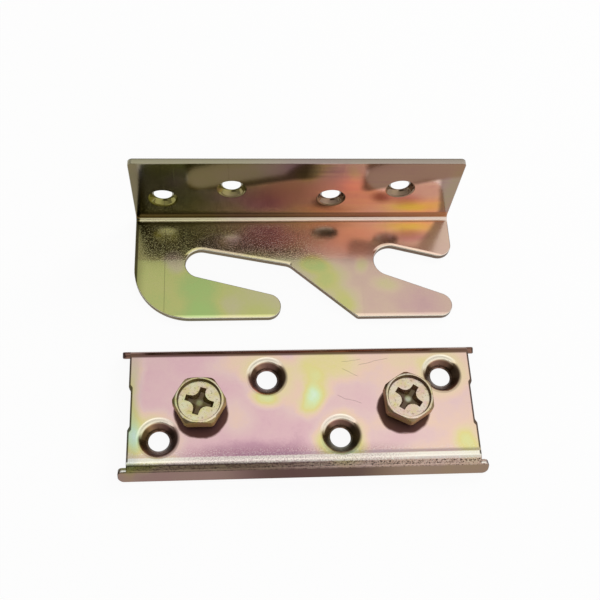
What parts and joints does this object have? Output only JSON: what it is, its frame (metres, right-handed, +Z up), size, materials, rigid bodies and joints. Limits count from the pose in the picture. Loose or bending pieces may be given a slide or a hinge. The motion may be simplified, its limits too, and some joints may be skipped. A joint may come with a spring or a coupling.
{
  "type": "bed rail fastener",
  "caption": "Two-part bed rail fastener: a bent steel plate with slanted hook slots and a folded plate with hexagon bolts that the hooks drop behind.",
  "frame": {"origin": "centre of the set's footprint on the surface that both halves lie on", "axes": "+X along both plates, +Y from the receiver plate towards the hook plate's flange, +Z up, along the bolts and away from the surface"},
  "size_m": [0.105, 0.0876, 0.032],
  "materials": {
    "hook_zinc": "yellow chromate over zinc plate, glossy and iridescent",
    "receiver_zinc": "yellow chromate over zinc plate, glossy and iridescent",
    "bolt_zinc": "yellow chromate over zinc plate, satin"
  },
  "bodies": {
    "plates": {"hook_plate": "hook_zinc", "receiver_plate": "receiver_zinc"},
    "left_bolt": {"left_bolt": "bolt_zinc"},
    "right_bolt": {"right_bolt": "bolt_zinc"}
  },
  "joints": [
    {"name": "left_bolt_screw", "type": "slide", "parent": "plates", "child": "left_bolt", "axis": [0, 0, 1], "range_m": [-0.0003, 0.0025]},
    {"name": "right_bolt_screw", "type": "slide", "parent": "plates", "child": "right_bolt", "axis": [0, 0, 1], "range_m": [-0.0003, 0.0025]}
  ]
}
